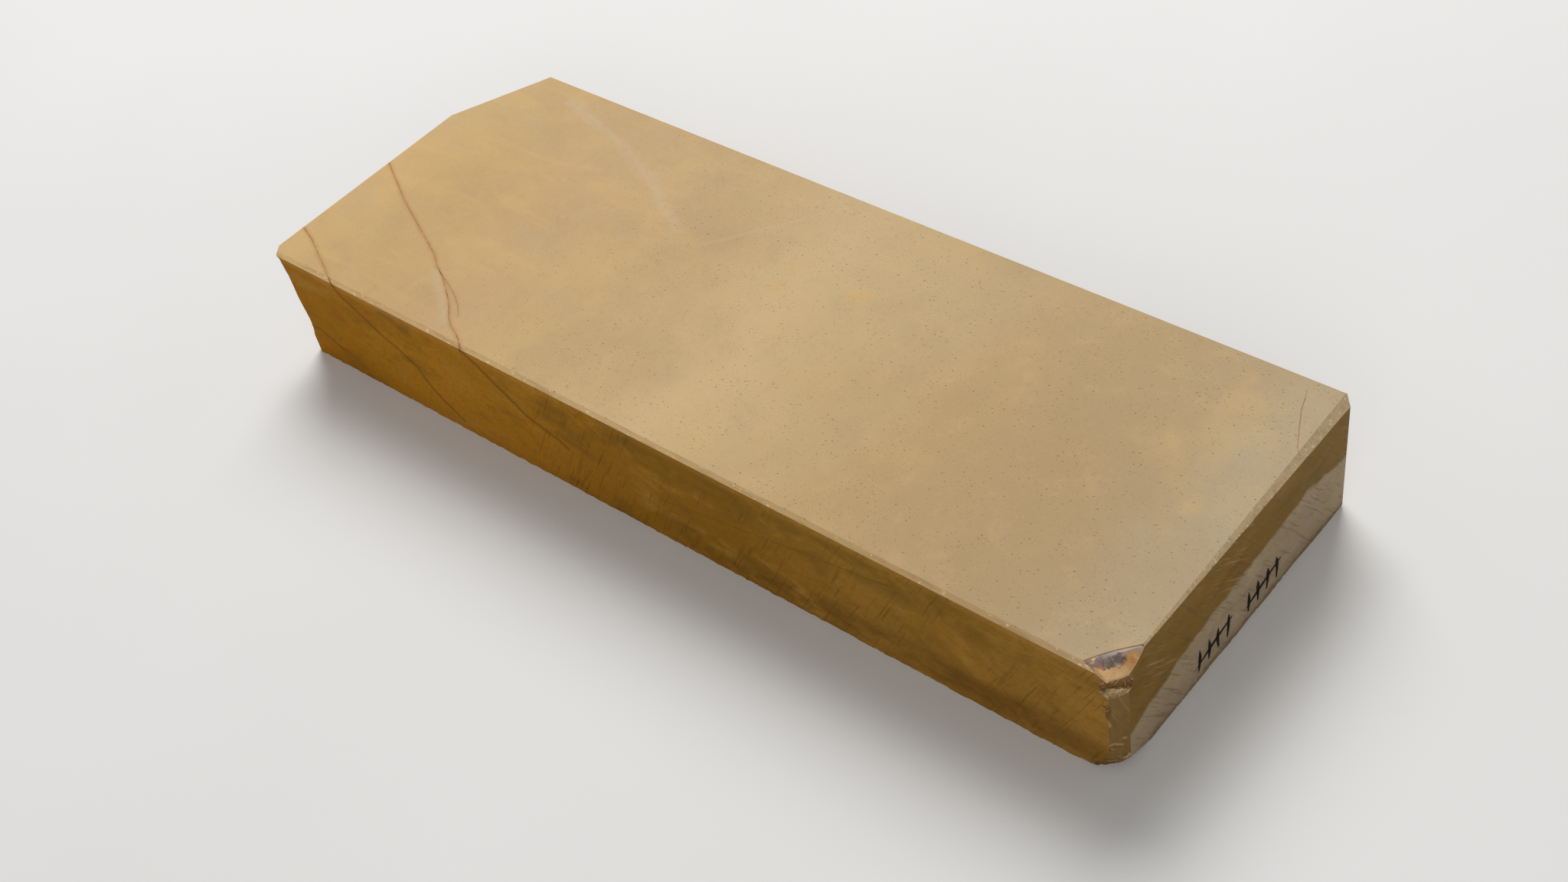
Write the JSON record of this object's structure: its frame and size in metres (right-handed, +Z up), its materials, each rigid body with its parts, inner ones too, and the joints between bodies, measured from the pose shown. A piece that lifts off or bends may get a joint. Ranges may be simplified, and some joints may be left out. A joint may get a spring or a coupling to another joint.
{
  "type": "sharpening whetstone",
  "caption": "Natural bench whetstone: a flat sawn block with a lapped honing face, healed mineral seams, a sawn-off corner and a scrap of crust, for honing carving knives.",
  "frame": {"origin": "centre of the stone's bounding box on its underside, the face that it rests on", "axes": "+X along the length, towards the end with the ink strokes; +Y across to the long side without the corner crust; +Z up, out of the honing face"},
  "size_m": [0.2064, 0.0708, 0.0273],
  "materials": {
    "stone_body": "matte",
    "corner_crust": "matte",
    "long_seam": "matte",
    "branch_seam": "matte",
    "short_seam": "matte",
    "low_seam": "matte",
    "side_seam": "matte",
    "pale_seam": "matte",
    "rust_seam": "matte",
    "ink_strokes": "matte"
  },
  "bodies": {
    "root": {"stone_body": "stone_body", "corner_crust": "corner_crust", "long_seam": "long_seam", "branch_seam": "branch_seam", "short_seam": "short_seam", "low_seam": "low_seam", "side_seam": "side_seam", "pale_seam": "pale_seam", "rust_seam": "rust_seam", "ink_strokes": "ink_strokes"}
  },
  "joints": []
}
